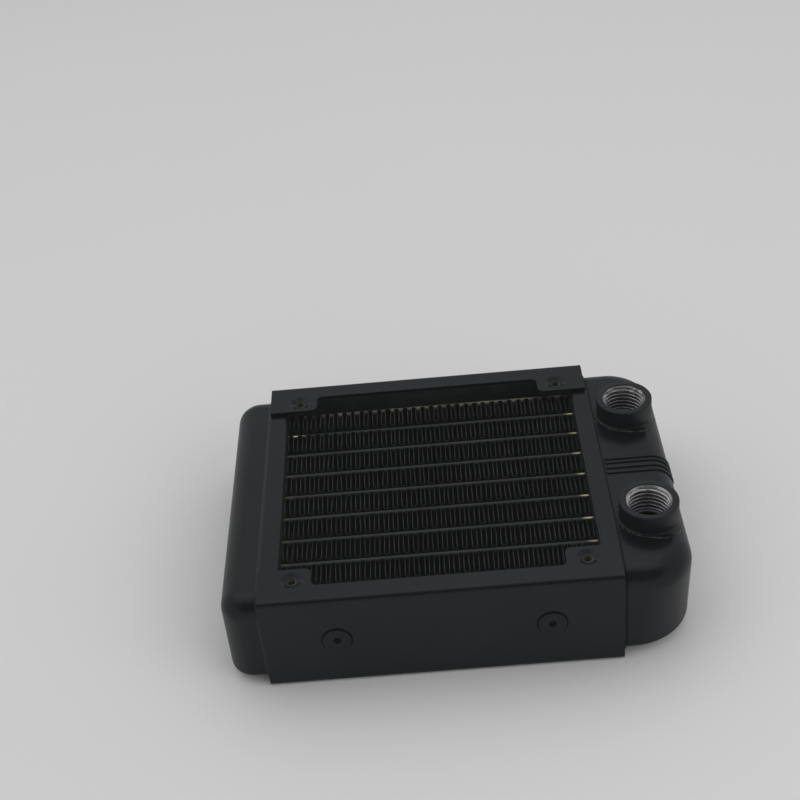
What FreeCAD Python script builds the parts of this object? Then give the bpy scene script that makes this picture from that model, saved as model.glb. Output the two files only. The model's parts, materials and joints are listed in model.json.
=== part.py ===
import FreeCAD, Part

import math
import os

# Liquid cooling radiator for a 92 mm fan: a flat-tube core between two soldered tanks, held by two C-shaped
# side rails. Millimetres. +X runs along the tubes towards the ports, +Y towards the back rail, +Z up.
# The origin is the centre of the bottom fan-hole pattern, in the plane of the rails' lower flanges.

Vec = FreeCAD.Vector
AXIS_X = Vec(1, 0, 0)
AXIS_Y = Vec(0, 1, 0)
AXIS_Z = Vec(0, 0, 1)

# Side rails
HEIGHT = 31.8
RAIL_LEFT_X = -50.8
RAIL_RIGHT_X = 50.1
RAIL_OUTER_Y = 50.5
RAIL_SHEET = 1.2
RAIL_BEND_RADIUS = 1.5
TAB_EDGE_Y = 36.95
STRIP_EDGE_Y = 43.9
TAB_LENGTH = 15.0
TAB_CORNER_RADIUS = 2.0
NOTCH_CORNER_RADIUS = 1.8
TAB_TIP_RADIUS = 0.6

# Fan holes: tapped M3 at the standard spacing of a 92 mm fan, each at the bottom of a pressed dish
FAN_HOLE_SPACING = 82.5
M3_TAPPED_RADIUS = 1.25
DISH_RADIUS = 3.3
DISH_FLOOR_RADIUS = 1.9
DISH_DEPTH = 0.8
DISH_COLLAR_LENGTH = 1.5
DISH_RIM_FILLET = 0.5

# Threaded bosses riveted into the webs
SIDE_NUT_SPACING = 60.0
SIDE_NUT_Z = 16.6
SIDE_NUT_BASE_RADIUS = 4.4
SIDE_NUT_FACE_RADIUS = 3.9
SIDE_NUT_HEIGHT = 0.5
SIDE_NUT_SHANK_RADIUS = 2.6
SIDE_NUT_CLINCH_RADIUS = 3.1
SIDE_NUT_CLINCH_LENGTH = 0.8
SIDE_NUT_EDGE_FILLET = 0.5

# Header plates: shallow pans that hold the tube ends and take the tanks' mouths
HEADER_SHEET = 0.8
HEADER_FACE_X = 45.2
HEADER_RIM_X = 50.6
HEADER_BEND_RADIUS = 1.2
SOLDER_GAP = 0.02

# Tanks: deep-drawn boxes. Pairs of radii are for the bottom and the top.
TANK_SHEET = 0.8
TANK_EDGE_RADII = (2.0, 5.6)
RETURN_TANK_END_X = -62.0
RETURN_TANK_CORNERS = (7.0, 7.0)
PORT_TANK_END_X = 70.9
PORT_TANK_CORNERS = (17.6, 13.0)
TANK_JOGGLE = 0.2
TANK_SEAM = 0.5
SEAM_BEAD_LENGTH = 1.1

# Ribs pressed into the port tank on each side of the flow divider
DIVIDER_Y = -1.5
DIVIDER_SHEET = 0.8
RIB_PLACES_Y = (-4.0, -1.75, 0.65, 2.45)
RIB_WIDTH = 1.1
RIB_HEIGHT = 0.45
RIB_FILLET = 0.35
RIB_WRAP = 8.0

# Core: flat tubes with corrugated fins between them
TUBE_COUNT = 9
TUBE_PITCH = 10.0
TUBE_THICKNESS = 1.8
TUBE_WALL = 0.3
CORE_BOTTOM_Z = 4.5
CORE_TOP_Z = 27.3
TUBE_END_X = 47.6
FIN_SHEET = 0.2
FIN_HALF_PITCH = 1.4
FIN_CRESTS = 64
FIN_OVERHANG = 0.2

# Ports: G1/4 parallel thread, shown as its plain minor bore
PORT_X = 60.6
PORT_PITCH = 48.7
PORT_RADIUS = 8.5
PORT_TOP_Z = 36.15
PORT_LENGTH = 10.0
PORT_SKIRT = 4.0
PORT_SPIGOT_RADIUS = 7.4
PORT_BORE_RADIUS = 5.72
PORT_MOUTH_RADIUS = 6.67
COLLAR_RADIUS = 9.3
COLLAR_HEIGHT = 0.45
PORT_EDGE_FILLET = 0.25

RAIL_INNER_Y = RAIL_OUTER_Y - RAIL_SHEET
PAN_LOW_Z = RAIL_SHEET
PAN_HIGH_Z = HEIGHT - RAIL_SHEET
TANK_HALF_Y = RAIL_INNER_Y - HEADER_SHEET
TANK_LOW_Z = PAN_LOW_Z + HEADER_SHEET
TANK_HIGH_Z = PAN_HIGH_Z - HEADER_SHEET
TANK_MOUTH_X = HEADER_FACE_X + HEADER_SHEET + SOLDER_GAP
TANK_TOP_Z = TANK_HIGH_Z + TANK_JOGGLE


def save(name, shape):
    """Check one sub-part and write it as its own STEP file."""
    if not shape.isValid():
        raise ValueError(name + " is not a valid solid")
    shape.exportStep("parts/" + name + ".step")


def path_edges(steps):
    """Edges along a list of points, where a pair (middle, end) adds an arc to its end."""
    edges = []
    here = steps[0]
    for step in steps[1:]:
        if isinstance(step, tuple):
            middle, end = step
            edges.append(Part.Arc(here, middle, end).toShape())
            here = end
        else:
            edges.append(Part.LineSegment(here, step).toShape())
            here = step
    return edges


def outline(steps):
    """Closed wire along a path that starts with a point."""
    edges = path_edges(steps)
    start = steps[0]
    last = steps[-1]
    end = last[1] if isinstance(last, tuple) else last
    if end.distanceToPoint(start) > 1e-6:
        edges.append(Part.LineSegment(end, start).toShape())
    return Part.Wire(edges)


def arc_step(centre, radius, start, end):
    """Arc from one angle to another, in degrees, as a path's pair (middle, end).

    A centre of two numbers lies in the XY plane. A centre of three lies in the plane of its own X,
    with the angles measured from +Y towards +Z.
    """
    pair = []
    for angle in ((start + end) / 2, end):
        turn = math.radians(angle)
        across = centre[-2] + radius * math.cos(turn)
        along = centre[-1] + radius * math.sin(turn)
        pair.append(Vec(centre[0], across, along) if len(centre) == 3 else Vec(across, along, 0))
    return tuple(pair)


def grown(radii, growth):
    """Radii of the same outline moved outwards."""
    return [radius + growth for radius in radii]


def rounded_section(x, half_y, low_z, high_z, radii):
    """Rectangle in the plane at x with its lower and its upper corners rounded, as a face."""
    low_radius, high_radius = radii
    low_y = half_y - low_radius
    high_y = half_y - high_radius
    low = low_z + low_radius
    high = high_z - high_radius
    path = [
        Vec(x, low_y, low_z),
        arc_step((x, low_y, low), low_radius, 270, 360),
        Vec(x, half_y, high),
        arc_step((x, high_y, high), high_radius, 0, 90),
        Vec(x, -high_y, high_z),
        arc_step((x, -high_y, high), high_radius, 90, 180),
        Vec(x, -half_y, low),
        arc_step((x, -low_y, low), low_radius, 180, 270),
    ]
    return Part.Face(outline(path))


def rounded_prism(x_from, x_to, half_y, low_z, high_z, radii):
    """Bar along X with a rounded rectangular section."""
    section = rounded_section(x_from, half_y, low_z, high_z, radii)
    return section.extrude(AXIS_X * (x_to - x_from))


def turned(profile, centre, axis):
    """Solid of revolution from (radius, height) points, with height measured along the axis."""
    points = [centre + AXIS_X * radius + axis * height for radius, height in profile]
    return Part.Face(Part.makePolygon(points + [points[0]])).revolve(centre, axis, 360)


def circular_edges(shape, radius, axis, height):
    """Full circles of the given radius whose centre lies at that height along the axis."""
    found = []
    for edge in shape.Edges:
        curve = edge.Curve
        if isinstance(curve, Part.Circle) and abs(curve.Radius - radius) < 1e-4:
            if abs(curve.Center.dot(axis) - height) < 1e-4:
                found.append(edge)
    return found


# ---------------------------------------------------------------- side rails


def rail_channel():
    """Plain C channel with its web at -Y, full tab depth along its whole length."""
    outer = RAIL_BEND_RADIUS
    inner = RAIL_BEND_RADIUS - RAIL_SHEET
    x = RAIL_LEFT_X
    web = -RAIL_OUTER_Y
    low_bend = (x, web + outer, outer)
    high_bend = (x, web + outer, HEIGHT - outer)
    path = [
        Vec(x, -TAB_EDGE_Y, 0),
        Vec(x, web + outer, 0),
        arc_step(low_bend, outer, 270, 180),
        Vec(x, web, HEIGHT - outer),
        arc_step(high_bend, outer, 180, 90),
        Vec(x, -TAB_EDGE_Y, HEIGHT),
        Vec(x, -TAB_EDGE_Y, HEIGHT - RAIL_SHEET),
        Vec(x, web + outer, HEIGHT - RAIL_SHEET),
        arc_step(high_bend, inner, 90, 180),
        Vec(x, web + RAIL_SHEET, outer),
        arc_step(low_bend, inner, 180, 270),
        Vec(x, -TAB_EDGE_Y, RAIL_SHEET),
    ]
    return Part.Face(outline(path)).extrude(AXIS_X * (RAIL_RIGHT_X - RAIL_LEFT_X))


def flange_notch():
    """Everything cut from both flanges between the two corner tabs."""
    tab = TAB_CORNER_RADIUS
    notch = NOTCH_CORNER_RADIUS
    low = -STRIP_EDGE_Y
    high = -TAB_EDGE_Y
    beyond = high + 1
    left = RAIL_LEFT_X + TAB_LENGTH
    right = RAIL_RIGHT_X - TAB_LENGTH
    path = [
        Vec(left - tab, beyond, 0),
        Vec(left - tab, high, 0),
        arc_step((left - tab, high - tab), tab, 90, 0),
        Vec(left, low + notch, 0),
        arc_step((left + notch, low + notch), notch, 180, 270),
        Vec(right - notch, low, 0),
        arc_step((right - notch, low + notch), notch, 270, 360),
        Vec(right, high - tab, 0),
        arc_step((right + tab, high - tab), tab, 180, 90),
        Vec(right + tab, beyond, 0),
    ]
    return Part.Face(outline(path)).extrude(AXIS_Z * HEIGHT)


def tab_tip_edges(rail):
    """The short vertical edges at the free outer corners of the tabs."""
    found = []
    for edge in rail.Edges:
        middle = edge.CenterOfMass
        at_end = min(abs(middle.x - RAIL_LEFT_X), abs(middle.x - RAIL_RIGHT_X)) < 1e-3
        at_tab = abs(middle.y + TAB_EDGE_Y) < 1e-3
        if at_end and at_tab and abs(edge.Length - RAIL_SHEET) < 1e-3:
            found.append(edge)
    return found


def dish(centre, axis):
    """Sheet pressed into a shallow dish with a tapped collar at its bottom; axis points out of the dish."""
    slope_in = DISH_RADIUS - DISH_FLOOR_RADIUS
    profile = [
        (M3_TAPPED_RADIUS, -DISH_DEPTH),
        (DISH_FLOOR_RADIUS, -DISH_DEPTH),
        (DISH_RADIUS, 0),
        (DISH_RADIUS + slope_in / 2, 0),
        (DISH_RADIUS + slope_in / 2, -RAIL_SHEET),
        (DISH_RADIUS, -RAIL_SHEET),
        (DISH_FLOOR_RADIUS + slope_in / 2, -DISH_DEPTH - DISH_COLLAR_LENGTH),
        (M3_TAPPED_RADIUS, -DISH_DEPTH - DISH_COLLAR_LENGTH),
    ]
    pressed = turned(profile, centre, axis)
    height = centre.dot(axis)
    rim = circular_edges(pressed, DISH_RADIUS, axis, height)
    return pressed.makeFillet(DISH_RIM_FILLET, rim)


def rail():
    """Front rail: a C channel with notched flanges, pressed fan holes and holes for the threaded bosses."""
    body = rail_channel().cut(flange_notch())
    body = body.makeFillet(TAB_TIP_RADIUS, tab_tip_edges(body))
    half = FAN_HOLE_SPACING / 2
    blank_radius = DISH_RADIUS + (DISH_RADIUS - DISH_FLOOR_RADIUS) / 2
    for x in (-half, half):
        for z, axis in ((0, -AXIS_Z), (HEIGHT, AXIS_Z)):
            centre = Vec(x, -half, z)
            blank = Part.makeCylinder(blank_radius, RAIL_SHEET, centre, -axis)
            body = body.cut(blank).fuse(dish(centre, axis))
    for x in (-SIDE_NUT_SPACING / 2, SIDE_NUT_SPACING / 2):
        start = Vec(x, -RAIL_OUTER_Y - 1, SIDE_NUT_Z)
        body = body.cut(Part.makeCylinder(SIDE_NUT_SHANK_RADIUS, RAIL_SHEET + 2, start, AXIS_Y))
    return body.removeSplitter()


def side_nut(x):
    """Round threaded boss with a conical head outside the front web and a clinched lip inside it."""
    head = SIDE_NUT_HEIGHT
    clinch = -RAIL_SHEET - SIDE_NUT_CLINCH_LENGTH
    profile = [
        (M3_TAPPED_RADIUS, clinch),
        (SIDE_NUT_CLINCH_RADIUS, clinch),
        (SIDE_NUT_CLINCH_RADIUS, -RAIL_SHEET),
        (SIDE_NUT_SHANK_RADIUS, -RAIL_SHEET),
        (SIDE_NUT_SHANK_RADIUS, 0),
        (SIDE_NUT_BASE_RADIUS, 0),
        (SIDE_NUT_FACE_RADIUS, head),
        (M3_TAPPED_RADIUS, head),
    ]
    centre = Vec(x, -RAIL_OUTER_Y, SIDE_NUT_Z)
    outward = -AXIS_Y
    nut = turned(profile, centre, outward)
    face_rim = circular_edges(nut, SIDE_NUT_FACE_RADIUS, outward, RAIL_OUTER_Y + head)
    return nut.makeFillet(SIDE_NUT_EDGE_FILLET, face_rim)


def side_nuts():
    """The pair of threaded bosses on the front rail."""
    half = SIDE_NUT_SPACING / 2
    return Part.makeCompound([side_nut(-half), side_nut(half)])


def to_back(shape):
    """The same piece on the back rail."""
    return shape.mirror(Vec(0, 0, 0), AXIS_Y)


# ---------------------------------------------------------------- core


def flat_tube_section(x, y, half_thickness, low_z, high_z):
    """Flat-oval face in the plane at x, with full-round edges at the top and bottom."""
    path = [
        Vec(x, y - half_thickness, low_z + half_thickness),
        (Vec(x, y, low_z), Vec(x, y + half_thickness, low_z + half_thickness)),
        Vec(x, y + half_thickness, high_z - half_thickness),
        (Vec(x, y, high_z), Vec(x, y - half_thickness, high_z - half_thickness)),
    ]
    return Part.Face(outline(path))


def flat_bar(x_from, x_to, y, spare):
    """Solid flat oval along X, larger than a tube's section by spare on every side."""
    half = TUBE_THICKNESS / 2 + spare
    section = flat_tube_section(x_from, y, half, CORE_BOTTOM_Z - spare, CORE_TOP_Z + spare)
    return section.extrude(AXIS_X * (x_to - x_from))


def tube(y):
    """Flat coolant tube, open at both ends."""
    outer = flat_bar(-TUBE_END_X, TUBE_END_X, y, 0)
    passage = flat_bar(-TUBE_END_X - 1, TUBE_END_X + 1, y, -TUBE_WALL)
    return outer.cut(passage)


def tube_places():
    """The tubes' Y positions, from the back rail to the front one."""
    middle = (TUBE_COUNT - 1) / 2
    return [TUBE_PITCH * (middle - number) for number in range(TUBE_COUNT)]


def fin_face(crest_y, sign):
    """Edges along one face of the corrugated strip: straight walls joined by half-round crests.

    sign is +1 for the face that is outside at the +Y crests and -1 for the other one.
    """
    bend = FIN_HALF_PITCH / 2
    half = FIN_SHEET / 2
    x_start = -FIN_CRESTS * bend
    path = [Vec(x_start - sign * half, 0, 0)]
    for number in range(FIN_CRESTS):
        towards = 1 if number % 2 == 0 else -1
        radius = bend + sign * towards * half
        x_mid = x_start + (2 * number + 1) * bend
        turn_y = towards * crest_y
        path.append(Vec(x_mid - radius, turn_y, 0))
        path.append((Vec(x_mid, turn_y + towards * radius, 0), Vec(x_mid + radius, turn_y, 0)))
    path.append(Vec(-x_start - sign * half, 0, 0))
    return path


def fin(y):
    """Corrugated cooling fin that fills the gap between two tubes."""
    reach = (TUBE_PITCH - TUBE_THICKNESS) / 2 - SOLDER_GAP
    crest_y = reach - FIN_HALF_PITCH / 2 - FIN_SHEET / 2
    first = fin_face(crest_y, 1)
    second = fin_face(crest_y, -1)
    ends = [Part.LineSegment(first[index], second[index]).toShape() for index in (0, -1)]
    edges = path_edges(first) + path_edges(second) + ends
    strip = Part.Face(Part.Wire(Part.sortEdges(edges)[0]))
    depth = CORE_TOP_Z - CORE_BOTTOM_Z + 2 * FIN_OVERHANG
    solid = strip.extrude(AXIS_Z * depth)
    solid.translate(Vec(0, y, CORE_BOTTOM_Z - FIN_OVERHANG))
    return solid


# ---------------------------------------------------------------- headers and tanks


def header(side):
    """Pan that holds the tube ends; side is +1 at the ports and -1 at the return end."""
    face = side * HEADER_FACE_X
    rim = side * HEADER_RIM_X
    radii = grown(TANK_EDGE_RADII, HEADER_SHEET)
    outside = rounded_prism(face, rim, RAIL_INNER_Y, PAN_LOW_Z, PAN_HIGH_Z, radii)
    bend = [e for e in outside.Edges if abs(e.CenterOfMass.x - face) < 1e-6]
    outside = outside.makeFillet(HEADER_BEND_RADIUS, bend)
    inside = rounded_prism(
        face + side * HEADER_SHEET,
        rim + side,
        TANK_HALF_Y + SOLDER_GAP,
        TANK_LOW_Z - SOLDER_GAP,
        TANK_HIGH_Z + SOLDER_GAP,
        grown(TANK_EDGE_RADII, SOLDER_GAP),
    )
    pan = outside.cut(inside)
    for y in tube_places():
        pan = pan.cut(flat_bar(face - side, face + side * (HEADER_SHEET + 1), y, SOLDER_GAP))
    return pan


def drawn_box(mouth_x, end_x, half_y, low_z, high_z, edge_radii, corner_radii):
    """Solid block shaped like a deep-drawn box: the corners are the upright edges at its end."""
    low_x = min(mouth_x, end_x)
    high_x = max(mouth_x, end_x)
    height = high_z - low_z
    block = Part.makeBox(high_x - low_x, 2 * half_y, height, Vec(low_x, -half_y, low_z))
    uprights = []
    for edge in block.Edges:
        if abs(edge.CenterOfMass.x - end_x) < 1e-6 and abs(edge.Length - height) < 1e-6:
            uprights.append(edge)
    block = block.makeFillet(*corner_radii, uprights)
    for z, radius in zip((low_z, high_z), edge_radii):
        rim = []
        for edge in block.Edges:
            at_rim = edge.BoundBox.ZLength < 1e-4 and abs(edge.CenterOfMass.z - z) < 1e-4
            if at_rim and abs(edge.CenterOfMass.x - mouth_x) > 1e-6:
                rim.append(edge)
        block = block.makeFillet(radius, rim)
    return block


def tank_body(side, end_x, corner_radii, grow):
    """The part of a tank outside its header, larger by grow on every side."""
    spread = TANK_JOGGLE + grow
    return drawn_box(
        side * (HEADER_RIM_X + TANK_SEAM),
        end_x + side * grow,
        TANK_HALF_Y + spread,
        TANK_LOW_Z - spread,
        TANK_HIGH_Z + spread,
        grown(TANK_EDGE_RADII, spread),
        grown(corner_radii, spread),
    )


def tank_block(side, end_x, corner_radii):
    """A tank's outside, with its mouth set inside the header."""
    mouth = rounded_prism(
        side * TANK_MOUTH_X,
        side * (HEADER_RIM_X + TANK_SEAM + 1),
        TANK_HALF_Y,
        TANK_LOW_Z,
        TANK_HIGH_Z,
        TANK_EDGE_RADII,
    )
    return mouth.fuse(tank_body(side, end_x, corner_radii, 0))


def tank_inside(side, end_x, corner_radii):
    """The hollow of a tank."""
    return drawn_box(
        side * TANK_MOUTH_X,
        end_x - side * TANK_SHEET,
        TANK_HALF_Y - TANK_SHEET,
        TANK_LOW_Z + TANK_SHEET,
        TANK_HIGH_Z - TANK_SHEET,
        grown(TANK_EDGE_RADII, -TANK_SHEET),
        grown(corner_radii, -TANK_SHEET),
    )


def return_tank():
    """Tank that turns the coolant round at the end away from the ports."""
    tank = tank_block(-1, RETURN_TANK_END_X, RETURN_TANK_CORNERS)
    return tank.cut(tank_inside(-1, RETURN_TANK_END_X, RETURN_TANK_CORNERS))


def return_seam_bead():
    """Solder bead that fills the step between the return header's rim and its tank."""
    rim = -HEADER_RIM_X
    spread = TANK_JOGGLE + SOLDER_GAP
    thick = rounded_section(
        rim,
        RAIL_INNER_Y,
        PAN_LOW_Z,
        PAN_HIGH_Z,
        grown(TANK_EDGE_RADII, HEADER_SHEET),
    )
    thin = rounded_section(
        rim - SEAM_BEAD_LENGTH,
        TANK_HALF_Y + spread,
        TANK_LOW_Z - spread,
        TANK_HIGH_Z + spread,
        grown(TANK_EDGE_RADII, spread),
    )
    wedge = Part.makeLoft([thick.OuterWire, thin.OuterWire], True, True)
    return wedge.cut(tank_block(-1, RETURN_TANK_END_X, RETURN_TANK_CORNERS))


def rib_slab(y):
    """Slice of space around one rib: the tank's top and bottom, with the turn over its end."""
    start_x = HEADER_RIM_X + 2 * TANK_SEAM
    length = PORT_TANK_END_X + 1 - start_x
    slab = Part.makeBox(length, RIB_WIDTH, HEIGHT, Vec(start_x, y - RIB_WIDTH / 2, 0))
    gap = Part.makeBox(length, RIB_WIDTH, HEIGHT - 2 * RIB_WRAP, Vec(start_x, y - RIB_WIDTH / 2, RIB_WRAP))
    return slab.cut(gap)


def rib(y):
    """One rib as a bar through the tank, with its outer edges rounded."""
    raised = tank_body(1, PORT_TANK_END_X, PORT_TANK_CORNERS, RIB_HEIGHT)
    plain = tank_body(1, PORT_TANK_END_X, PORT_TANK_CORNERS, 0)
    bar = raised.common(rib_slab(y))
    rims = []
    for edge in bar.Edges:
        middle = edge.valueAt((edge.FirstParameter + edge.LastParameter) / 2)
        on_side = math.isclose(abs(middle.y - y), RIB_WIDTH / 2, abs_tol=0.01)
        if on_side and not plain.isInside(middle, 0.01, True):
            rims.append(edge)
    return bar.makeFillet(RIB_FILLET, rims)


def port_places():
    """Centres of the two ports on the tank's top face."""
    return [Vec(PORT_X, sign * PORT_PITCH / 2, TANK_TOP_Z) for sign in (1, -1)]


def port_tank():
    """Tank with both ports' holes and ribs that grip the flow divider."""
    tank = tank_block(1, PORT_TANK_END_X, PORT_TANK_CORNERS)
    for y in RIB_PLACES_Y:
        tank = tank.fuse(rib(y))
    tank = tank.cut(tank_inside(1, PORT_TANK_END_X, PORT_TANK_CORNERS))
    for centre in port_places():
        tank = tank.cut(Part.makeCylinder(PORT_SPIGOT_RADIUS, PORT_SKIRT + 1, centre + AXIS_Z, -AXIS_Z))
    return tank.removeSplitter()


def flow_divider():
    """Wall inside the port tank that keeps the incoming and outgoing coolant apart."""
    inside = tank_inside(1, PORT_TANK_END_X, PORT_TANK_CORNERS)
    start = Vec(0, DIVIDER_Y - DIVIDER_SHEET / 2, 0)
    return inside.common(Part.makeBox(2 * PORT_TANK_END_X, DIVIDER_SHEET, HEIGHT, start))


def port(centre):
    """Turned fitting that sits on the tank's curved edge, with a spigot through the wall."""
    top = PORT_TOP_Z - TANK_TOP_Z
    foot = top - PORT_LENGTH
    chamfer = PORT_MOUTH_RADIUS - PORT_BORE_RADIUS
    profile = [
        (PORT_BORE_RADIUS, -PORT_SKIRT),
        (PORT_RADIUS, -PORT_SKIRT),
        (PORT_RADIUS, top),
        (PORT_MOUTH_RADIUS, top),
        (PORT_BORE_RADIUS, top - chamfer),
    ]
    fitting = turned(profile, centre, AXIS_Z)
    rim = circular_edges(fitting, PORT_RADIUS, AXIS_Z, PORT_TOP_Z)
    fitting = fitting.makeFillet(PORT_EDGE_FILLET, rim)
    fitting = fitting.cut(tank_block(1, PORT_TANK_END_X, PORT_TANK_CORNERS))
    spigot = [
        (PORT_BORE_RADIUS, foot),
        (PORT_SPIGOT_RADIUS, foot),
        (PORT_SPIGOT_RADIUS, 0),
        (PORT_BORE_RADIUS, 0),
    ]
    return fitting.fuse(turned(spigot, centre, AXIS_Z)).removeSplitter()


def collar(centre):
    """Brazing ring round the foot of a port, which follows the tank's surface."""
    outer = COLLAR_RADIUS
    inner = PORT_RADIUS + SOLDER_GAP
    profile = [(inner, -PORT_SKIRT), (outer, -PORT_SKIRT), (outer, 1), (inner, 1)]
    layer = tank_body(1, PORT_TANK_END_X, PORT_TANK_CORNERS, COLLAR_HEIGHT)
    ring = turned(profile, centre, AXIS_Z).common(layer)
    return ring.cut(tank_block(1, PORT_TANK_END_X, PORT_TANK_CORNERS))


# ---------------------------------------------------------------- all the pieces

os.makedirs("parts", exist_ok=True)

save("front_rail", rail())
save("back_rail", to_back(rail()))
save("front_side_nuts", side_nuts())
save("back_side_nuts", to_back(side_nuts()))

places = tube_places()
for number, place in enumerate(places, start=1):
    save("tube_" + str(number), tube(place))
for number, (behind, ahead) in enumerate(zip(places, places[1:]), start=1):
    save("fin_" + str(number), fin((behind + ahead) / 2))

save("return_header", header(-1))
save("port_header", header(1))
save("return_tank", return_tank())
save("return_seam_bead", return_seam_bead())
save("port_tank", port_tank())
save("flow_divider", flow_divider())
for name, centre in zip(("outlet", "inlet"), port_places()):
    save(name + "_port", port(centre))
    save(name + "_collar", collar(centre))
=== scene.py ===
import json
import math
import random

import bpy
from mathutils import Euler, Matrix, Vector
from mathutils.bvhtree import BVHTree


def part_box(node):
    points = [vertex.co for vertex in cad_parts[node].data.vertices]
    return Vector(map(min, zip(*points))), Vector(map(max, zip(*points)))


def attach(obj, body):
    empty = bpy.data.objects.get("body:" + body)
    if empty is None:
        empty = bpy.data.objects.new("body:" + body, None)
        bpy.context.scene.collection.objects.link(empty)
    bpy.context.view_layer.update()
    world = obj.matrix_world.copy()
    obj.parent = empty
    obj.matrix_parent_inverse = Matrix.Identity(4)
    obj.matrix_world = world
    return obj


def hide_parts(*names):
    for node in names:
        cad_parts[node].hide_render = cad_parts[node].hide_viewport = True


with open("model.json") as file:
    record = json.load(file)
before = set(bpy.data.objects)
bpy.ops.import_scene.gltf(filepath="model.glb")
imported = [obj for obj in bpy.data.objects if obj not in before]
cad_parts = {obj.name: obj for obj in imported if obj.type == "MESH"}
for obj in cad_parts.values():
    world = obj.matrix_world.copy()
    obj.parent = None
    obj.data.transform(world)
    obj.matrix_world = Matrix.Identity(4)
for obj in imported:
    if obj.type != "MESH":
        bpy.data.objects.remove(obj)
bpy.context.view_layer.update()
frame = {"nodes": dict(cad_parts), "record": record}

# The looks of a liquid cooling radiator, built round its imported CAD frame. Metres, +Z up, as in the frame.
# MM turns millimetres into the frame's metres.

MM = 0.001

# Camera: a long lens that looks down on the radiator, from a little right of its middle, slightly rolled
CAMERA_PLACE = Vector((5.77, -341.41, 311.42)) * MM
CAMERA_ELEVATION = 36.33
CAMERA_AZIMUTH = 2.225
CAMERA_ROLL = 6.083
CAMERA_LENS = 66.276
CAMERA_SENSOR = 36.0
CAMERA_CLIP = (0.02, 20.0)

# Fin strips: corrugated sheet, jostled by hand. A fold is the points of one wall and of the bend after it
FIN_WALLS = 65
FIN_PITCH = 1.4 * MM
FIN_SHEET = 0.36 * MM
FIN_EDGE_SHARE = 0.6
FIN_REACH = 4.06 * MM
FIN_LEVELS = 12
LOUVRE_OFFSET = 0.13 * MM
WALL_SHARES = (-1.0, -0.4, 0.4, 1.0)
BEND_STEPS = 6
FOLD_POINTS = len(WALL_SHARES) + BEND_STEPS - 1
WALL_SHIFT = 0.06 * MM
WALL_LEAN = 0.07 * MM
WALL_BOW = 0.06 * MM
DEEPEST_SLUMP = 0.12 * MM
HIGHEST_WAVE = 0.10 * MM

# How far the left and right ends of the back two fins stand above the rest
FIN_LIFTS = {1: (0.9 * MM, 0.2 * MM), 2: (0.7 * MM, -0.9 * MM)}

# Tubes
TUBE_PITCH = 10.0 * MM
TUBE_END_X = 45.0 * MM

# Paint: its levels run from one end of its mottling to the other
BLACK_TINT = (0.86, 1.00, 1.12)
CORE_TINT = (0.96, 1.04, 0.98)
SHEEN_TINT = (0.93, 1.0, 1.06)
SHELL_LEVELS = (0.0038, 0.0058)
PORT_LEVELS = (0.0045, 0.0070)
TUBE_LEVELS = (0.012, 0.022)
WELD_LEVELS = (0.006, 0.016)
# The fins' least level is their painted shade at the bends by the tubes
FIN_LEAST = 0.004
FIN_MOST = (0.021, 0.040)
# Colour of the painted shade in creases
CREASE_SHADE = 0.002
# Colour of the painted shade round the side nuts
NUT_SHADE = 0.001
CREASE_REACH = 0.9 * MM
PAINT_GLOSS = 0.228
PORT_GLOSS = 0.26
TUBE_GLOSS = 0.30
CREASE_GLOSS_SHARE = 0.3
EDGE_ON_GLOSS_SHARE = 0.14
# Gloss left in the side nuts' painted shade
NUT_SHADE_GLOSS_SHARE = 0.06
VEIL = 0.0055
VEIL_COLOUR = (0.97, 1.0, 1.02, 1.0)

# Bare metal, solder, dust and films; the rail film, the weld dust and the rubbed tube colour are partly
# painted light, and the deep thread colour is painted shade
DUST = (0.42, 0.41, 0.39, 1.0)
RAIL_FILM_AND_FILL_LIGHT = (0.044, 0.050, 0.044, 1.0)
WELD_DUST_AND_HIGHLIGHT = (0.075, 0.080, 0.070, 1.0)
DULL_SOLDER = (0.12, 0.11, 0.075, 1.0)
BARE_SOLDER = (0.50, 0.45, 0.34, 1.0)
BRIGHT_SOLDER = (0.62, 0.55, 0.40, 1.0)
RUBBED_TUBE_AND_HIGHLIGHT = (0.18, 0.17, 0.14, 1.0)
THREAD_METAL = (0.46, 0.46, 0.47, 1.0)
THREAD_STAIN = (0.26, 0.25, 0.24, 1.0)
THREAD_DEPTH_SHADE = (0.24, 0.24, 0.26, 1.0)
THREAD_SPRAY = (0.010, 0.010, 0.011, 1.0)
HOLE_METAL = (0.16, 0.145, 0.095, 1.0)
HOLE_STAIN = (0.05, 0.047, 0.034, 1.0)
BRASS = (0.66, 0.50, 0.24, 1.0)
BRASS_STAIN = (0.38, 0.25, 0.12, 1.0)

# Side nuts: the sloped rim and the turned ring, as radii from the nut's axis
NUT_RIM = (3.85 * MM, 4.05 * MM)
NUT_RING_RADIUS = 3.0 * MM
NUT_RING_WIDTH = (0.06 * MM, 0.22 * MM)

# Ports: G1/4 thread with a share of each flank flat at crest and root, which runs out above the port's foot
G14_PITCH = 1.337 * MM
G14_CORE_RADIUS = 5.72 * MM
G14_ROOT_RADIUS = 6.56 * MM
THREAD_RUNOUT = 1.6 * MM
THREAD_FLAT = 0.12
LEVELS_PER_TURN = 12
PORT_RADIUS = 8.5 * MM
PORT_MOUTH_RADIUS = 6.67 * MM
PORT_BARE_RADIUS = 6.52 * MM
PORT_BARE_DEPTH = 0.22 * MM
MOUTH_DEPTH = 0.26 * MM
MOUTH_SLOPE = 0.95
SPIGOT_RADIUS = 7.4 * MM
SEAT_SINK = 0.1 * MM
PORT_COLUMNS = 120

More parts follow.
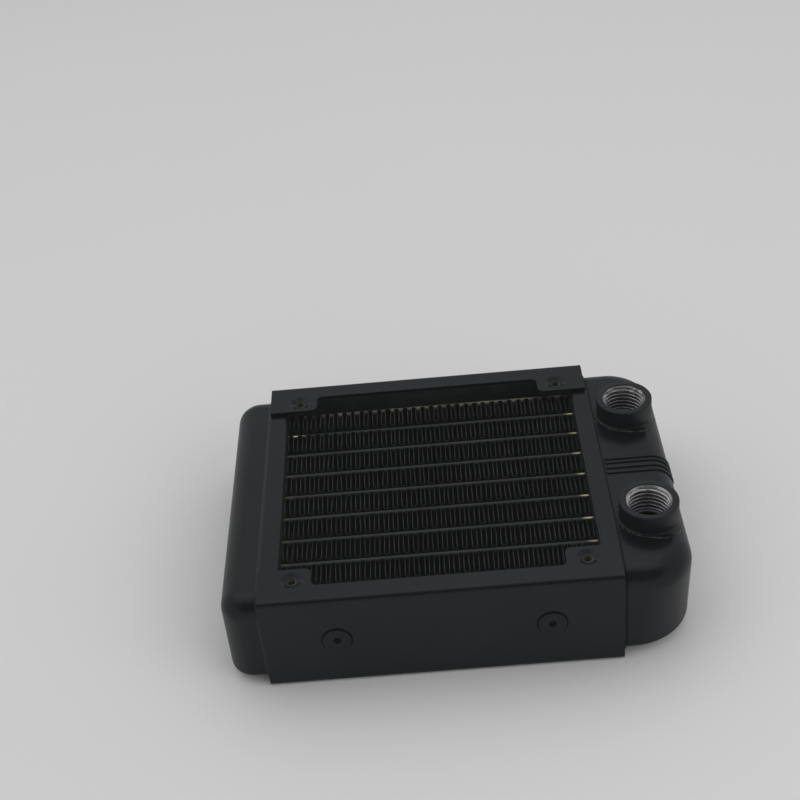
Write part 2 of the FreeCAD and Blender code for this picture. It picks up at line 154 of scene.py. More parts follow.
# Brazed feet of the ports, widest at one bearing round the port's axis
WELD_COLUMNS = 180
WELD_RADIUS = 9.35 * MM
WELD_SPREAD = 1.9 * MM
WELD_WIDEST = math.radians(-58)
WELD_WIDE_ANGLE = 0.45
WELD_RIPPLES = 6
WELD_RIPPLE = 0.16 * MM
WELD_END_GAP = 0.05 * MM
WELD_PAINTED_RINGS = 2

# Liners of the M3 holes, from just under the surface down, and as wide outside as this share of the hole
M3_PITCH = 0.5 * MM
M3_DEPTH = 0.16 * MM
HOLE_TOP = 0.05 * MM
HOLE_LENGTH = 1.35 * MM
HOLE_OUTER_SHARE = 1.01
HOLE_STEPS = 16
HOLE_COLUMNS = 32

# Studio: pale surroundings with a dim patch in front and above
FLOOR_REACH = 3.0
FLOOR_LEVEL = -0.05 * MM
WORLD_LEVEL = 0.60
SHADE_LEVEL = 0.10
SHADE_TOWARDS = (0, -0.6, 0.8)
SHADE_EDGE = (0.68, 0.93)

record = frame["record"]
mounts = {mount["name"]: mount for mount in record["mounts"]}
nodes = frame["nodes"]


# ---------------------------------------------------------------- mesh helpers


def new_piece(name, vertices, faces, materials, replaced=()):
    """Mesh object that rides on the only body, and may stand for CAD nodes, which it hides."""
    mesh = bpy.data.meshes.new(name)
    mesh.from_pydata(vertices, [], faces)
    mesh.validate()
    for material in materials:
        mesh.materials.append(material)
    piece = bpy.data.objects.new(name, mesh)
    bpy.context.scene.collection.objects.link(piece)
    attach(piece, "root")
    if replaced:
        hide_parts(*replaced)
    return piece


def ring_faces(rows, columns, closed_loop=False):
    """Quads between neighbouring rings of vertices; the last ring joins the first if the loop is closed."""
    faces = []
    pairs = rows if closed_loop else rows - 1
    for row in range(pairs):
        low = row * columns
        high = (row + 1) % rows * columns
        for column in range(columns):
            after = (column + 1) % columns
            faces.append((low + column, low + after, high + after, high + column))
    return faces


def bearings(columns):
    """Angles of evenly spaced columns round an axis, from +X towards +Y."""
    return [2 * math.pi * column / columns for column in range(columns)]


def on_circle(centre, radius, turn):
    """Place on a level circle, without its height."""
    return centre.x + radius * math.cos(turn), centre.y + radius * math.sin(turn)


def paint_from(piece, first, last, index):
    """Gives a run of faces the piece's material of that index."""
    for number in range(first, last):
        piece.data.polygons[number].material_index = index


def smooth_by_angle(piece, degrees):
    """Smooth shading with edges sharper than the angle left crisp."""
    piece.data.shade_smooth()
    with bpy.context.temp_override(object=piece, selected_editable_objects=[piece]):
        bpy.ops.object.shade_smooth_by_angle(angle=math.radians(degrees))


# ---------------------------------------------------------------- material helpers


def add(tree, kind, inputs=None, **settings):
    """New shader node with its settings, and its inputs set to values or linked to sockets."""
    made = tree.nodes.new(kind)
    for name, value in settings.items():
        setattr(made, name, value)
    for name, value in (inputs or {}).items():
        if isinstance(value, bpy.types.NodeSocket):
            tree.links.new(value, made.inputs[name])
        else:
            made.inputs[name].default_value = value
    return made


def new_material(name):
    """Empty node material, its tree and its Principled shader."""
    material = bpy.data.materials.new(name)
    material.use_nodes = True
    tree = material.node_tree
    shader = tree.nodes["Principled BSDF"]
    return material, tree, shader


def place_of(tree):
    """Position in the frame, in metres, as a socket."""
    return add(tree, "ShaderNodeTexCoord").outputs["Object"]


def noise(tree, place, scale, detail, roughness=0.55):
    """Noise of the given number of features per metre, from 0 to 1."""
    inputs = {"Vector": place, "Scale": scale, "Detail": detail, "Roughness": roughness}
    return add(tree, "ShaderNodeTexNoise", inputs).outputs["Fac"]


def remap(tree, value, low, high, to_low=0.0, to_high=1.0, smooth=False):
    """Value clamped from one range to another."""
    inputs = {"Value": value, "From Min": low, "From Max": high, "To Min": to_low, "To Max": to_high}
    kind = "SMOOTHSTEP" if smooth else "LINEAR"
    return add(tree, "ShaderNodeMapRange", inputs, interpolation_type=kind).outputs["Result"]


def math_node(tree, operation, first, second=0.0):
    """One arithmetic step."""
    made = add(tree, "ShaderNodeMath", {0: first, 1: second}, operation=operation)
    return made.outputs["Value"]


def blend_colours(tree, share, first, second):
    """Mix of two colours, each a tuple or a socket."""
    made = add(tree, "ShaderNodeMix", {0: share, 6: first, 7: second}, data_type="RGBA")
    return made.outputs[2]


def grey(level, tint=(1.0, 1.0, 1.0)):
    """Opaque colour of one level with a slight tint."""
    return (level * tint[0], level * tint[1], level * tint[2], 1.0)


def veil(shader):
    """Faint even glow that lifts the blacks, like light scattered inside a lens."""
    shader.inputs["Emission Color"].default_value = VEIL_COLOUR
    shader.inputs["Emission Strength"].default_value = VEIL


def specks(tree, place, per_metre, size, share):
    """Sparse small dots: 1 in a dot and 0 elsewhere; share of the cells that hold one."""
    cells = add(tree, "ShaderNodeTexVoronoi", {"Vector": place, "Scale": per_metre})
    chosen = add(tree, "ShaderNodeSeparateColor", {"Color": cells.outputs["Color"]})
    limit = remap(tree, chosen.outputs["Red"], 1.0 - share, 1.0, 0.0, size)
    near = math_node(tree, "SUBTRACT", limit, cells.outputs["Distance"])
    return remap(tree, near, 0.0, 0.3 * size)


def paint_relief(tree, place, peel, grain):
    """Normal of a sprayed powder coat: a slow orange peel and a fine grain."""
    slow = add(tree, "ShaderNodeBump", {
        "Height": noise(tree, place, scale=700.0, detail=2.0), "Strength": 1.0, "Distance": peel})
    fine = add(tree, "ShaderNodeBump", {
        "Height": noise(tree, place, scale=4200.0, detail=2.0), "Strength": 1.0, "Distance": grain,
        "Normal": slow.outputs["Normal"]})
    return fine.outputs["Normal"]


def open_share(tree, reach, shut, clear):
    """Mask of painted shade: 0 in corners shut in within the reach, and 1 on open faces."""
    found = add(tree, "ShaderNodeAmbientOcclusion", {"Distance": reach}, samples=6)
    return remap(tree, found.outputs["AO"], shut, clear, smooth=True)


def from_tube(tree, place):
    """Distance back from the middle of the tube in front; the tubes lie at whole numbers of pitches."""
    axes = add(tree, "ShaderNodeSeparateXYZ", {"Vector": place})
    return math_node(tree, "FLOORED_MODULO", axes.outputs["Y"], TUBE_PITCH)


def black_paint(name, levels, tint, gloss, sheen_range, peel, grain):
    """Black paint: mottled, with painted shade that darkens colour and gloss in creases, dull edge-on, with
    a sprayed relief. Returns its parts.
    """
    material, tree, shader = new_material(name)
    place = place_of(tree)
    patches = remap(tree, noise(tree, place, scale=60.0, detail=4.0), 0.35, 0.65)
    colour = blend_colours(tree, patches, grey(levels[0], tint), grey(levels[1], tint))
    # Painted shade: creases found by ambient occlusion get a near-black colour and less gloss
    unshaded_share = open_share(tree, CREASE_REACH, shut=0.50, clear=0.95)
    colour = blend_colours(tree, unshaded_share, grey(CREASE_SHADE), colour)
    sheen = remap(tree, noise(tree, place, scale=150.0, detail=5.0, roughness=0.65), 0.3, 0.7, *sheen_range)
    tree.links.new(colour, shader.inputs["Base Color"])
    tree.links.new(sheen, shader.inputs["Roughness"])
    facing = add(tree, "ShaderNodeLayerWeight", {"Blend": 0.5}).outputs["Facing"]
    edge_on = remap(tree, facing, 0.46, 0.82, 1.0, EDGE_ON_GLOSS_SHARE)
    shine = remap(tree, unshaded_share, 0.0, 1.0, CREASE_GLOSS_SHARE * gloss, gloss)
    shine = math_node(tree, "MULTIPLY", shine, edge_on)
    tree.links.new(shine, shader.inputs["Specular IOR Level"])
    tree.links.new(paint_relief(tree, place, peel, grain), shader.inputs["Normal"])
    shader.inputs["Specular Tint"].default_value = grey(1.0, SHEEN_TINT)
    veil(shader)
    return material, tree, shader, place


def add_layer(tree, shader, share, colour, roughness, metallic):
    """Covers the shader's paint with another finish where the share is 1."""
    under = shader.inputs["Base Color"].links[0].from_socket
    rough_under = shader.inputs["Roughness"].links[0].from_socket
    tree.links.new(blend_colours(tree, share, under, colour), shader.inputs["Base Color"])
    rough = add(tree, "ShaderNodeMix", {0: share, 2: rough_under, 3: roughness}, data_type="FLOAT")
    tree.links.new(rough.outputs[0], shader.inputs["Roughness"])
    if metallic:
        metal = shader.inputs["Metallic"]
        total = math_node(tree, "MAXIMUM", share, metal.links[0].from_socket if metal.links else 0.0)
        tree.links.new(total, metal)


def port_paint():
    """The same paint on the turned ports, a little duller."""
    material, *_ = black_paint(
        "port_paint", PORT_LEVELS, BLACK_TINT, PORT_GLOSS,
        sheen_range=(0.36, 0.46), peel=0.012 * MM, grain=0.004 * MM)
    return material


def paint_shade(tree, shader, share):
    """Painted shade: takes colour and gloss away where the share is 1."""
    under = shader.inputs["Base Color"].links[0].from_socket
    tree.links.new(blend_colours(tree, share, under, grey(NUT_SHADE)), shader.inputs["Base Color"])
    shine = shader.inputs["Specular IOR Level"].links[0].from_socket
    kept = remap(tree, share, 0.0, 1.0, 1.0, NUT_SHADE_GLOSS_SHARE)
    tree.links.new(math_node(tree, "MULTIPLY", shine, kept), shader.inputs["Specular IOR Level"])


def nut_paint():
    """The shell's paint, with painted shade round the sloped rim of each side nut and in its turned ring."""
    material, tree, shader, place = black_paint(
        "nut_paint", SHELL_LEVELS, BLACK_TINT, PAINT_GLOSS,
        sheen_range=(0.22, 0.30), peel=0.010 * MM, grain=0.003 * MM)
    bosses = mounts["front_side_bosses"]
    axes = add(tree, "ShaderNodeSeparateXYZ", {"Vector": place})
    off_x = math_node(tree, "SUBTRACT", math_node(tree, "ABSOLUTE", axes.outputs["X"]),
                      bosses["dims"]["spacing_x_mm"] / 2 * MM)
    off_z = math_node(tree, "SUBTRACT", axes.outputs["Z"], bosses["pos_m"][2])
    offset = add(tree, "ShaderNodeCombineXYZ", {"X": off_x, "Y": off_z})
    distance = add(tree, "ShaderNodeVectorMath", {0: offset.outputs["Vector"]}, operation="LENGTH")
    radius = distance.outputs["Value"]
    # Painted shade: a dark band round the nut's sloped rim, and a fainter one at its turned ring
    paint_shade(tree, shader, remap(tree, radius, *NUT_RIM, 0.0, 0.92))
    from_ring = math_node(tree, "ABSOLUTE", math_node(tree, "SUBTRACT", radius, NUT_RING_RADIUS))
    paint_shade(tree, shader, remap(tree, from_ring, *NUT_RING_WIDTH, 0.35, 0.0))
    return material


def shell_paint():
    """Satin black powder coat with a faint orange peel, a little dust, and a paler dull film inside the
    rails that is partly painted fill light.
    """
    material, tree, shader, place = black_paint(
        "shell_paint", SHELL_LEVELS, BLACK_TINT, PAINT_GLOSS,
        sheen_range=(0.19, 0.27), peel=0.010 * MM, grain=0.003 * MM)
    dots = specks(tree, place, per_metre=260.0, size=0.055, share=0.10)
    add_layer(tree, shader, math_node(tree, "MULTIPLY", dots, 0.12), DUST, roughness=0.9, metallic=False)
    axes = add(tree, "ShaderNodeSeparateXYZ", {"Vector": place})
    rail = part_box("back_rail")
    below = remap(tree, axes.outputs["Z"], rail[1].z - 1.3 * MM, rail[1].z - 0.9 * MM, 1.0, 0.0)
    beside = remap(tree, math_node(tree, "ABSOLUTE", axes.outputs["Y"]),
                   rail[1].y - 1.0 * MM, rail[1].y - 0.6 * MM, 1.0, 0.0)
    along = remap(tree, math_node(tree, "ABSOLUTE", axes.outputs["X"]),
                  TUBE_END_X, TUBE_END_X + 0.4 * MM, 1.0, 0.0)
    above = remap(tree, axes.outputs["Z"], rail[0].z + 1.0 * MM, rail[0].z + 1.1 * MM)
    inside = math_node(tree, "MULTIPLY", math_node(tree, "MULTIPLY", below, beside), along)
    inside = math_node(tree, "MULTIPLY", inside, above)
    # Partly painted light: the rails' inner walls get a paler mottled film that lifts them where the lamps
    # barely reach
    film = remap(tree, noise(tree, place, scale=170.0, detail=5.0), 0.3, 0.7, 0.35, 1.0)
    dull = math_node(tree, "MULTIPLY", inside, film)
    add_layer(tree, shader, dull, RAIL_FILM_AND_FILL_LIGHT, roughness=0.7, metallic=False)
    return material


def core_paint():
    """Thin matte black paint on the fins, with painted shade at their bends by the tubes, so palest midway
    along the walls.
    """
    material, tree, shader = new_material("core_paint")
    place = place_of(tree)
    patches = remap(tree, noise(tree, place, scale=90.0, detail=4.0), 0.35, 0.65)
    colour = blend_colours(tree, patches, grey(FIN_MOST[0], CORE_TINT), grey(FIN_MOST[1], CORE_TINT))
    # Painted shade: the fins darken to their least level by the tube behind them, and partly by the tube in
    # front
    back = remap(tree, from_tube(tree, place), 0.88 * TUBE_PITCH, 0.60 * TUBE_PITCH)
    front = remap(tree, from_tube(tree, place), 0.11 * TUBE_PITCH, 0.32 * TUBE_PITCH, 0.15, 1.0)
    bend_shade = math_node(tree, "MULTIPLY", back, front)
    colour = blend_colours(tree, bend_shade, grey(FIN_LEAST, CORE_TINT), colour)
    tree.links.new(colour, shader.inputs["Base Color"])
    shader.inputs["Roughness"].default_value = 0.6
    shader.inputs["Specular IOR Level"].default_value = 0.10
    tree.links.new(paint_relief(tree, place, peel=0.012 * MM, grain=0.004 * MM), shader.inputs["Normal"])
    veil(shader)
    return material


def tube_paint():
    """Paint on the tubes, with bare solder at their ends and, on the back one, rubbed spots that are also
    paler as a painted highlight.
    """
    material, tree, shader, place = black_paint(
        "tube_paint", TUBE_LEVELS, CORE_TINT, TUBE_GLOSS,
        sheen_range=(0.38, 0.52), peel=0.012 * MM, grain=0.004 * MM)
    axes = add(tree, "ShaderNodeSeparateXYZ", {"Vector": place})
    wobble = math_node(tree, "MULTIPLY", noise(tree, place, scale=150.0, detail=4.0), 5.0 * MM)
    right = math_node(tree, "ADD", axes.outputs["X"], wobble)
    left = math_node(tree, "SUBTRACT", wobble, axes.outputs["X"])
    off_middle = math_node(tree, "PINGPONG", axes.outputs["Y"], TUBE_PITCH / 2)
    ridge = remap(tree, off_middle, 0.20 * MM, 0.50 * MM, 1.0, 0.0)
    tip = TUBE_END_X + 0.9 * MM
    bright = math_node(tree, "MULTIPLY", remap(tree, right, tip - 1.2 * MM, tip + 0.8 * MM), ridge)
    dull = remap(tree, left, tip - 0.8 * MM, tip + 1.6 * MM, 0.0, 0.5)
    add_layer(tree, shader, dull, DULL_SOLDER, roughness=0.5, metallic=False)
    add_layer(tree, shader, bright, BARE_SOLDER, roughness=0.42, metallic=True)
    second = math_node(tree, "COMPARE", axes.outputs["Y"], 3 * TUBE_PITCH)
    second.node.inputs[2].default_value = 0.2 * TUBE_PITCH
    lead = math_node(tree, "MULTIPLY", remap(tree, left, tip - 4.0 * MM, tip - 1.0 * MM), second)
    lead = math_node(tree, "MULTIPLY", lead, ridge)
    add_layer(tree, shader, lead, BRIGHT_SOLDER, roughness=0.36, metallic=True)
    # Rubbed spots on the back tube, paler also as a painted highlight on its lit top
    behind = remap(tree, axes.outputs["Y"], 3.8 * TUBE_PITCH, 3.85 * TUBE_PITCH)
    spots = remap(tree, noise(tree, place, scale=230.0, detail=4.0, roughness=0.7), 0.36, 0.66)
    rubbed_and_lit = math_node(tree, "MULTIPLY", behind, spots)
    add_layer(tree, shader, rubbed_and_lit, RUBBED_TUBE_AND_HIGHLIGHT, roughness=0.45, metallic=False)
    shader.inputs["Specular Tint"].default_value = grey(1.0, CORE_TINT)
    return material


def bare_thread():
    """Machined metal in the ports' threads, with painted shade that darkens it with depth, and paint spray
    in the outlet's mouth.
    """
    material, tree, shader = new_material("bare_thread")
    place = place_of(tree)
    axes = add(tree, "ShaderNodeSeparateXYZ", {"Vector": place})
    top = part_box("outlet_port")[1].z
    stains = remap(tree, noise(tree, place, scale=420.0, detail=4.0), 0.45, 0.75)
    colour = blend_colours(tree, stains, THREAD_METAL, THREAD_STAIN)
    # Painted shade: the thread's colour darkens down the bore
    depth_shade = remap(tree, axes.outputs["Z"], top - 1.5 * MM, top - 7.0 * MM)
    colour = blend_colours(tree, depth_shade, colour, THREAD_DEPTH_SHADE)
    outlet = remap(tree, axes.outputs["Y"], 0.0, 1.0 * MM)
    mouth = remap(tree, axes.outputs["Z"], top - 2.8 * MM, top - 0.8 * MM)
    spray = remap(tree, noise(tree, place, scale=650.0, detail=4.0, roughness=0.7), 0.44, 0.52)
    spray = math_node(tree, "MULTIPLY", math_node(tree, "MULTIPLY", outlet, mouth), spray)
    spray = math_node(tree, "MULTIPLY", spray, 0.75)
    colour = blend_colours(tree, spray, colour, THREAD_SPRAY)
    tree.links.new(colour, shader.inputs["Base Color"])
    sheen = remap(tree, noise(tree, place, scale=1500.0, detail=3.0), 0.3, 0.7, 0.26, 0.44)
    tree.links.new(sheen, shader.inputs["Roughness"])
    tree.links.new(remap(tree, spray, 0.0, 1.0, 1.0, 0.0), shader.inputs["Metallic"])
    veil(shader)
    return material


def hole_metal():
    """Dull brassy steel in the tapped holes."""
    material, tree, shader = new_material("hole_metal")
    place = place_of(tree)
    stains = remap(tree, noise(tree, place, scale=900.0, detail=3.0), 0.4, 0.7)
    colour = blend_colours(tree, stains, HOLE_METAL, HOLE_STAIN)
    tree.links.new(colour, shader.inputs["Base Color"])
    shader.inputs["Metallic"].default_value = 1.0
    shader.inputs["Roughness"].default_value = 0.42
    veil(shader)
    return material


def weld_paint():
    """Paint with dusty chips along the edge of a port's brazed foot, and paler there as a painted highlight
    where that edge catches the light.
    """
    material, tree, shader, place = black_paint(
        "weld_paint", WELD_LEVELS, CORE_TINT, PAINT_GLOSS,
        sheen_range=(0.35, 0.50), peel=0.030 * MM, grain=0.012 * MM)
    chips = remap(tree, noise(tree, place, scale=700.0, detail=3.0, roughness=0.6), 0.42, 0.60)
    chips_and_highlight_share = math_node(tree, "MULTIPLY", chips, 0.8)
    add_layer(tree, shader, chips_and_highlight_share, WELD_DUST_AND_HIGHLIGHT, roughness=0.7, metallic=False)
    return material


def brass():
    """Rolled brass of the flow divider."""
    material, tree, shader = new_material("divider_brass")
    place = place_of(tree)
    stains = remap(tree, noise(tree, place, scale=160.0, detail=5.0), 0.4, 0.7)
    colour = blend_colours(tree, stains, BRASS, BRASS_STAIN)
    tree.links.new(colour, shader.inputs["Base Color"])
    shader.inputs["Metallic"].default_value = 1.0
    shader.inputs["Roughness"].default_value = 0.38
    return material


def floor_paint():
    """Plain pale studio floor."""
    material, tree, shader = new_material("floor")
    place = place_of(tree)
    mottle = remap(tree, noise(tree, place, scale=3.0, detail=2.0), 0.3, 0.7)
    colour = blend_colours(tree, mottle, grey(0.90), grey(0.92))
    tree.links.new(colour, shader.inputs["Base Color"])
    shader.inputs["Roughness"].default_value = 0.85
    shader.inputs["Specular IOR Level"].default_value = 0.2
    return material


# ---------------------------------------------------------------- fins


def fin_outline(box, dice):
    """Centre line of one hand-jostled corrugated strip, from end to end: (x, y, share along the wall)."""
    middle_y = (box[0].y + box[1].y) / 2
    start_x = -(FIN_WALLS - 1) / 2 * FIN_PITCH
    bend = FIN_PITCH / 2
    straight = FIN_REACH - bend
    walls = []
    for number in range(FIN_WALLS):
        walls.append({
            "x": start_x + number * FIN_PITCH + dice.gauss(0, WALL_SHIFT),
            "lean": dice.gauss(0, WALL_LEAN),
            "bow": dice.gauss(0, WALL_BOW),
        })
    path = []
    for number, wall in enumerate(walls):
        towards = 1 if number % 2 == 0 else -1
        for share in WALL_SHARES:
            along = share * towards
            x = wall["x"] + wall["lean"] * along + wall["bow"] * (1 - share * share)
            path.append((x, middle_y + along * straight, share))
        if number + 1 == FIN_WALLS:
            break
        here = wall["x"] + wall["lean"] * towards
        there = walls[number + 1]["x"] + walls[number + 1]["lean"] * towards
        centre = (here + there) / 2
        half = (there - here) / 2
        slump = dice.uniform(0.0, DEEPEST_SLUMP)
        for step in range(1, BEND_STEPS):
            turn = math.pi * step / BEND_STEPS
            x = centre - half * math.cos(turn)
            y = middle_y + towards * (straight + (bend - slump) * math.sin(turn))
            path.append((x, y, 1.0))
    return path


def path_normals(path):
    """Level unit vectors square to the centre line at each of its points."""
    normals = []
    for index in range(len(path)):
        before = path[max(index - 1, 0)]
        after = path[min(index + 1, len(path) - 1)]
        step = Vector((after[0] - before[0], after[1] - before[1])).normalized()
        normals.append(Vector((step.y, -step.x)))
    return normals


def sheet_faces(count):
    """Closed skin of a folded sheet whose levels each hold one side's points and then the other's."""
    faces = []
    row = 2 * count
    for level in range(FIN_LEVELS):
        low = level * row
        high = low + row
        for index in range(count - 1):
            faces.append((low + index, low + index + 1, high + index + 1, high + index))
            other = low + count + index
            faces.append((other + 1, other, other + row, other + row + 1))
        faces.append((low + count, low, high, high + count))
        faces.append((low + count - 1, low + row - 1, high + row - 1, high + count - 1))
    top = FIN_LEVELS * row
    for index in range(count - 1):
        faces.append((top + index, top + index + 1, top + count + index + 1, top + count + index))
        faces.append((count + index, count + index + 1, index + 1, index))
    return faces


def fin_strip(number, material, lift_left, lift_right):
    """Corrugated fin between two tubes, with louvred walls; the lifts are how far its two ends stand up."""
    node = "fin_" + str(number)
    low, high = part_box(node)
    dice = random.Random(1000 + number)
    path = fin_outline((low, high), dice)
    normals = path_normals(path)
    waves = [dice.uniform(-HIGHEST_WAVE, HIGHEST_WAVE) for fold in range(len(path) // FOLD_POINTS + 2)]
    tops = []
    for index, point in enumerate(path):
        end = (point[0] - low.x) / (high.x - low.x)
        lift = max(lift_left * (1 - end) + lift_right * end, 0.0)
        spot = index / FOLD_POINTS
        fold = int(spot)
        wave = waves[fold] + (waves[fold + 1] - waves[fold]) * (spot - fold)
        tops.append(high.z + lift + wave)
    vertices = []
    for level in range(FIN_LEVELS + 1):
        inner = 0 < level < FIN_LEVELS
        louvre = LOUVRE_OFFSET * math.sin(level * math.pi / 2) if inner else 0.0
        half = FIN_SHEET / 2 * (1.0 if inner else FIN_EDGE_SHARE)
        for offset in (half, -half):
            for (x, y, share), normal, top in zip(path, normals, tops):
                sway = louvre * (1 - share ** 4)
                z = low.z + (top - low.z) * level / FIN_LEVELS
                vertices.append((x + sway + offset * normal.x, y + offset * normal.y, z))
    new_piece(node + "_strip", vertices, sheet_faces(len(path)), [material], [node])


# ---------------------------------------------------------------- ports


def surface_finder(node):
    """Function that gives the height of a CAD node's outside at a point, seen from above."""
    tree = BVHTree.FromObject(nodes[node], bpy.context.evaluated_depsgraph_get())
    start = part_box(node)[1].z + 10 * MM

    def height(x, y):
        hit = tree.ray_cast(Vector((x, y, start)), Vector((0, 0, -1)))
        return hit[0].z

    return height


def thread_radius(z, turn, pitch, core, root):
    """Radius of a right-handed inside thread with rounded crests and roots."""
    phase = (z / pitch - turn / (2 * math.pi)) % 1.0
    ramp = abs(2 * phase - 1)
    share = min(max((ramp - THREAD_FLAT) / (1 - 2 * THREAD_FLAT), 0.0), 1.0)
    share = share * share * (3 - 2 * share)
    return core + (root - core) * share


def port(name, paint, bare):
    """Turned port: painted outside, seated on the tank's curved edge, and a bare thread inside."""
    node = name + "_port"
    axis = Vector(mounts[name + "_thread"]["pos_m"])
    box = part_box(node)
    top = box[1].z
    foot = box[0].z
    height = surface_finder("port_tank")
    turns = bearings(PORT_COLUMNS)
    seat = [height(*on_circle(axis, PORT_RADIUS, turn)) - SEAT_SINK for turn in turns]
    rim = (
        (PORT_RADIUS, top - 0.34 * MM),
        (PORT_RADIUS - 0.03 * MM, top - 0.17 * MM),
        (PORT_RADIUS - 0.12 * MM, top - 0.05 * MM),
        (PORT_RADIUS - 0.30 * MM, top),
        (PORT_MOUTH_RADIUS + 0.08 * MM, top),
        (PORT_BARE_RADIUS, top - PORT_BARE_DEPTH),
    )
    vertices = [(*on_circle(axis, PORT_RADIUS, turn), level) for turn, level in zip(turns, seat)]
    for radius, z in rim:
        vertices += [(*on_circle(axis, radius, turn), z) for turn in turns]
    painted_rows = 1 + len(rim)
    mouth = top - MOUTH_DEPTH
    steps = int((top - foot) / (G14_PITCH / LEVELS_PER_TURN))
    for step in range(steps + 1):
        z = mouth - (mouth - foot) * step / steps
        cone = PORT_BARE_RADIUS - (mouth - z) * MOUTH_SLOPE
        fade = min((z - foot) / THREAD_RUNOUT, 1.0)
        for turn in turns:
            cut = thread_radius(z, turn, G14_PITCH, G14_CORE_RADIUS, G14_ROOT_RADIUS)
            cut = G14_CORE_RADIUS + (cut - G14_CORE_RADIUS) * fade
            vertices.append((*on_circle(axis, max(cut, cone), turn), z))
    bare_rows = steps + 1
    vertices += [(*on_circle(axis, SPIGOT_RADIUS, turn), foot) for turn in turns]
    vertices += [(*on_circle(axis, SPIGOT_RADIUS, turn), level) for turn, level in zip(turns, seat)]
    faces = ring_faces(painted_rows + bare_rows + 2, PORT_COLUMNS, closed_loop=True)
    piece = new_piece(node + "_turned", vertices, faces, [paint, bare], [node])
    first_bare = (painted_rows - 1) * PORT_COLUMNS
    paint_from(piece, first_bare, first_bare + (bare_rows + 1) * PORT_COLUMNS, 1)
    smooth_by_angle(piece, degrees=40)


def weld(name, paint, chips_and_highlight):
    """Uneven brazed foot round a port, widest where the tank's surface falls away in front."""
    node = name + "_collar"
    axis = Vector(mounts[name + "_thread"]["pos_m"])
    end_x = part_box(node)[1].x - WELD_END_GAP
    height = surface_finder("port_tank")
    dice = random.Random(len(name))
    waves = [(dice.randint(5, 30), dice.uniform(0, 2 * math.pi)) for wave in range(WELD_RIPPLES)]
    columns = []
    for turn in bearings(WELD_COLUMNS):
        from_widest = math.atan2(math.sin(turn - WELD_WIDEST), math.cos(turn - WELD_WIDEST))
        ripple = sum(math.sin(count * turn + phase) for count, phase in waves) / len(waves)
        spread = WELD_SPREAD * math.exp(-(from_widest / WELD_WIDE_ANGLE) ** 2)
        foot = WELD_RADIUS + spread + WELD_RIPPLE * ripple
        if math.cos(turn) > 0:
            foot = min(foot, (end_x - axis.x) / math.cos(turn))
        profile = (
            (PORT_RADIUS - 0.05 * MM, 0.50 * MM),
            (PORT_RADIUS + 0.20 * MM, 0.30 * MM),
            (foot - 0.38 * MM, 0.22 * MM + 0.05 * MM * ripple),
            (foot - 0.16 * MM, 0.26 * MM + 0.08 * MM * ripple),
            (foot, -0.06 * MM),
        )
        column = []
        for radius, rise in profile:
            x, y = on_circle(axis, radius, turn)
            column.append((x, y, height(x, y) + rise))
        columns.append(column)
    rings = list(zip(*columns))
    vertices = [point for ring in rings for point in ring]
    faces = ring_faces(len(rings), WELD_COLUMNS)
    piece = new_piece(node + "_bead", vertices, faces, [paint, chips_and_highlight], [node])
    # The outer rings take the paler paint: dusty chips and a painted highlight on the foot's edge
    paint_from(piece, WELD_PAINTED_RINGS * WELD_COLUMNS, len(faces), 1)
    smooth_by_angle(piece, degrees=60)


def hole_thread(mount_name, material):
    """Short threaded liner in each hole of a bolt pattern."""
    mount = mounts[mount_name]
    sizes = mount["dims"]
    turn_to = Vector(mount["axis"]).to_track_quat("Z", "Y")
    root = sizes["hole_r_mm"] * MM
    half_x = sizes["spacing_x_mm"] / 2 * MM
    half_y = sizes.get("spacing_y_mm", 0) / 2 * MM
    turns = bearings(HOLE_COLUMNS)
    rings = []
    for step in range(HOLE_STEPS + 1):
        depth = HOLE_TOP + HOLE_LENGTH * step / HOLE_STEPS
        radii = [thread_radius(-depth, turn, M3_PITCH, root - M3_DEPTH, root) for turn in turns]
        rings.append([(radius, depth) for radius in radii])
    rings.append([(root * HOLE_OUTER_SHARE, HOLE_TOP + HOLE_LENGTH)] * HOLE_COLUMNS)
    rings.append([(root * HOLE_OUTER_SHARE, HOLE_TOP)] * HOLE_COLUMNS)
    faces = ring_faces(len(rings), HOLE_COLUMNS, closed_loop=True)
    for number in range(sizes["count"]):
        centre = Vector(mount["pos_m"])
        centre.x += half_x if number % 2 else -half_x
        centre.y += half_y if number >= 2 else -half_y
        vertices = []
        for ring in rings:
            for turn, (radius, depth) in zip(turns, ring):
                inward = Vector((radius * math.cos(turn), radius * math.sin(turn), -depth))
                vertices.append(centre + turn_to @ inward)
        name = mount_name + "_thread_" + str(number + 1)
        liner = new_piece(name, vertices, faces, [material])
        smooth_by_angle(liner, degrees=50)


# ---------------------------------------------------------------- stage, light and camera


def floor(material):
    """Large plain floor just clear of the radiator's underside."""
    mesh = bpy.data.meshes.new("floor")
    signs = ((-1, -1), (1, -1), (1, 1), (-1, 1))
    corners = [(x * FLOOR_REACH, y * FLOOR_REACH, FLOOR_LEVEL) for x, y in signs]
    mesh.from_pydata(corners, [], [(0, 1, 2, 3)])
    mesh.materials.append(material)
    ground = bpy.data.objects.new("floor", mesh)
    bpy.context.scene.collection.objects.link(ground)


def soft_light(name, place, aim, size, power, in_gloss):
    """Square soft box that points at a place, and shows in glossy surfaces or doesn't."""
    data = bpy.data.lights.new(name, "AREA")
    data.shape = "SQUARE"
    data.size = size
    data.energy = power
    lamp = bpy.data.objects.new(name, data)
    lamp.location = place
    lamp.rotation_euler = (Vector(aim) - Vector(place)).to_track_quat("-Z", "Y").to_euler()
    lamp.visible_glossy = in_gloss
    bpy.context.scene.collection.objects.link(lamp)


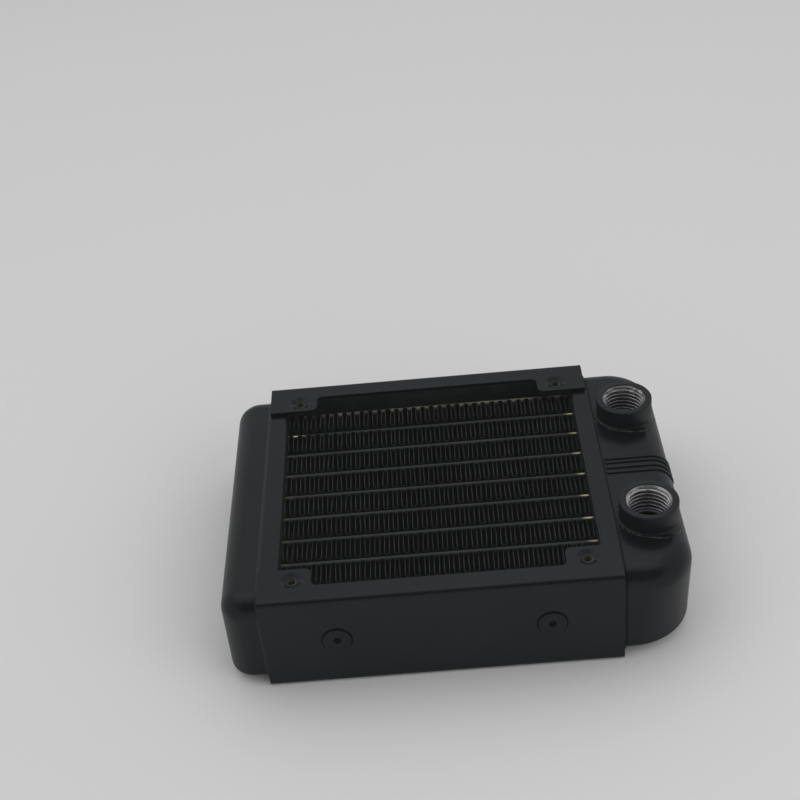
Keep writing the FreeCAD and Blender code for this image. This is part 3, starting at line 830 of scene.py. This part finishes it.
def world_light():
    """Even pale surroundings, dimmer round one direction."""
    world = bpy.data.worlds.new("studio")
    world.use_nodes = True
    tree = world.node_tree
    way = add(tree, "ShaderNodeTexCoord").outputs["Generated"]
    shade = Vector(SHADE_TOWARDS).normalized()
    near = add(tree, "ShaderNodeVectorMath", {0: way, 1: shade}, operation="DOT_PRODUCT")
    strength = remap(tree, near.outputs["Value"], *SHADE_EDGE, WORLD_LEVEL, SHADE_LEVEL, smooth=True)
    background = tree.nodes["Background"]
    background.inputs["Color"].default_value = grey(1.0)
    tree.links.new(strength, background.inputs["Strength"])
    bpy.context.scene.world = world


def camera():
    """Camera at its place, aimed by elevation and azimuth, then rolled about its own axis."""
    data = bpy.data.cameras.new("camera")
    data.sensor_width = CAMERA_SENSOR
    data.lens = CAMERA_LENS
    data.clip_start, data.clip_end = CAMERA_CLIP
    made = bpy.data.objects.new("camera", data)
    down = math.radians(90 - CAMERA_ELEVATION)
    aim = Euler((down, 0, math.radians(CAMERA_AZIMUTH))).to_quaternion()
    roll = Euler((0, 0, math.radians(-CAMERA_ROLL))).to_quaternion()
    made.rotation_mode = "QUATERNION"
    made.rotation_quaternion = aim @ roll
    made.location = CAMERA_PLACE
    bpy.context.scene.collection.objects.link(made)
    bpy.context.scene.camera = made


# ---------------------------------------------------------------- the whole

shell = shell_paint()
nuts = nut_paint()
core = core_paint()
tubes = tube_paint()
satin = port_paint()
thread = bare_thread()
tapped = hole_metal()
chips_and_highlight = weld_paint()
slot_materials = {"divider_brass": brass(), "shell_paint": shell, "core_paint": core, "port_metal": thread}
for row in record["subparts"]:
    node = row["node"]
    mesh = nodes[node].data
    mesh.materials.clear()
    if node.startswith("tube_"):
        mesh.materials.append(tubes)
    elif node.endswith("_side_nuts"):
        mesh.materials.append(nuts)
    else:
        mesh.materials.append(slot_materials[row["material_slot"]])

fin_count = sum(name.startswith("fin_") for name in nodes)
for number in range(1, fin_count + 1):
    fin_strip(number, core, *FIN_LIFTS.get(number, (0.0, 0.0)))

for name in ("outlet", "inlet"):
    port(name, satin, thread)
for name in ("outlet", "inlet"):
    weld(name, shell, chips_and_highlight)
for pattern in ("top_fan_holes", "bottom_fan_holes"):
    hole_thread(pattern, tapped)
for pattern in ("front_side_bosses", "back_side_bosses"):
    hole_thread(pattern, shell)

floor(floor_paint())
world_light()
soft_light("right", (0.72, -0.62, 0.6), (0, 0, 0), size=0.9, power=2.2, in_gloss=False)
soft_light("overhead", (-0.15, 0.10, 0.8), (-0.1, -0.05, 0), size=1.0, power=1.35, in_gloss=True)
camera()
scene = bpy.context.scene
scene.view_settings.view_transform = "Standard"
scene.cycles.use_denoising = True
